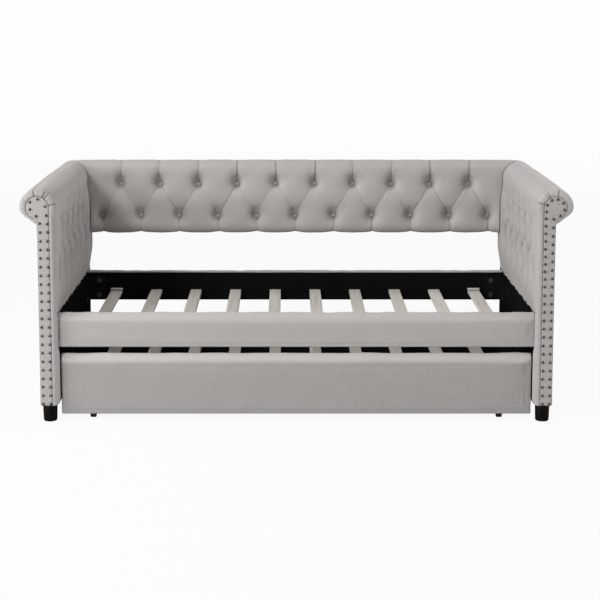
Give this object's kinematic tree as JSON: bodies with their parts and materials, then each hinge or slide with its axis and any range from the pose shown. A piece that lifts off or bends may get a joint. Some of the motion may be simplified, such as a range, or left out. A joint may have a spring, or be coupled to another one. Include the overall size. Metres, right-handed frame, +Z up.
{
  "type": "daybed with trundle",
  "caption": "Upholstered daybed with tufted back, scroll arms with nailhead facings, slatted base and a roll-out trundle underneath.",
  "frame": {"origin": "on the floor, under the middle of the daybed", "axes": "+X along the length to the right arm as seen from the front, +Y from the front to the back, +Z up"},
  "size_m": [2.2902, 1.13, 0.985],
  "materials": {
    "fabric": "warm light grey woven upholstery fabric with a soft velvet sheen",
    "timber": "plain sawn frame timber, hidden under the upholstery",
    "slat_wood": "pale unfinished softwood, planed",
    "black_lining": "thin black non-woven lining stapled over board",
    "black_foot": "turned wood with a black satin stain",
    "black_steel": "black powder coat",
    "zinc": "bright zinc plate",
    "black_plastic": "moulded black nylon",
    "nail_pewter": "dark antique pewter nailheads"
  },
  "bodies": {
    "root": {"arm_facing_left": "fabric", "arm_facing_right": "fabric", "arm_frame_left": "timber", "arm_frame_right": "timber", "arm_pad_left": "fabric", "arm_pad_right": "fabric", "arm_side_board_left": "black_lining", "arm_side_board_right": "black_lining", "back_bracket_left": "black_steel", "back_bracket_right": "black_steel", "back_frame": "timber", "back_pad": "fabric", "bed_slat_01": "slat_wood", "bed_slat_02": "slat_wood", "bed_slat_03": "slat_wood", "bed_slat_04": "slat_wood", "bed_slat_05": "slat_wood", "bed_slat_06": "slat_wood", "bed_slat_07": "slat_wood", "bed_slat_08": "slat_wood", "bed_slat_09": "slat_wood", "bed_slat_10": "slat_wood", "corner_bracket_front_left": "black_steel", "corner_bracket_front_right": "black_steel", "corner_bracket_rear_left": "black_steel", "corner_bracket_rear_right": "black_steel", "foot_front_left": "black_foot", "foot_front_right": "black_foot", "foot_rear_left": "black_foot", "foot_rear_right": "black_foot", "front_rail_board": "black_lining", "front_rail_pad": "fabric", "rail_bolt_front_left_lower": "zinc", "rail_bolt_front_left_upper": "zinc", "rail_bolt_front_right_lower": "zinc", "rail_bolt_front_right_upper": "zinc", "rail_bolt_rear_left_lower": "zinc", "rail_bolt_rear_left_upper": "zinc", "rail_bolt_rear_right_lower": "zinc", "rail_bolt_rear_right_upper": "zinc", "rear_rail_board": "black_lining", "rear_rail_pad": "fabric", "slat_cleat_front": "black_lining", "slat_cleat_rear": "black_lining"},
    "trundle": {"caster_fork_front_left": "black_steel", "caster_fork_front_right": "black_steel", "caster_fork_rear_left": "black_steel", "caster_fork_rear_right": "black_steel", "trundle_cleat_front": "black_lining", "trundle_cleat_rear": "black_lining", "trundle_front_board": "black_lining", "trundle_front_pad": "fabric", "trundle_rear_rail": "black_lining", "trundle_side_rail_left": "black_lining", "trundle_side_rail_right": "black_lining", "trundle_slat_set": "slat_wood"},
    "wheel_front_left": {"caster_wheel_front_left": "black_plastic"},
    "wheel_front_right": {"caster_wheel_front_right": "black_plastic"},
    "wheel_rear_left": {"caster_wheel_rear_left": "black_plastic"},
    "wheel_rear_right": {"caster_wheel_rear_right": "black_plastic"}
  },
  "joints": [
    {"name": "trundle_slide", "type": "slide", "parent": "root", "child": "trundle", "axis": [0, -1, 0], "range_m": [0, 1.05]},
    {"name": "wheel_front_left_spin", "type": "hinge", "parent": "trundle", "child": "wheel_front_left", "pos_m": [-0.86, -0.486, 0.022], "axis": [1, 0, 0], "range_deg": [0, 2736]},
    {"name": "wheel_front_right_spin", "type": "hinge", "parent": "trundle", "child": "wheel_front_right", "pos_m": [0.86, -0.486, 0.022], "axis": [1, 0, 0], "range_deg": [0, 2736]},
    {"name": "wheel_rear_left_spin", "type": "hinge", "parent": "trundle", "child": "wheel_rear_left", "pos_m": [-0.86, 0.442, 0.022], "axis": [1, 0, 0], "range_deg": [0, 2736]},
    {"name": "wheel_rear_right_spin", "type": "hinge", "parent": "trundle", "child": "wheel_rear_right", "pos_m": [0.86, 0.442, 0.022], "axis": [1, 0, 0], "range_deg": [0, 2736]}
  ],
  "couplings": [
    {"joint": "wheel_front_left_spin", "follows": "trundle_slide", "rad_per_m": 45.455},
    {"joint": "wheel_front_right_spin", "follows": "trundle_slide", "rad_per_m": 45.455},
    {"joint": "wheel_rear_left_spin", "follows": "trundle_slide", "rad_per_m": 45.455},
    {"joint": "wheel_rear_right_spin", "follows": "trundle_slide", "rad_per_m": 45.455}
  ]
}
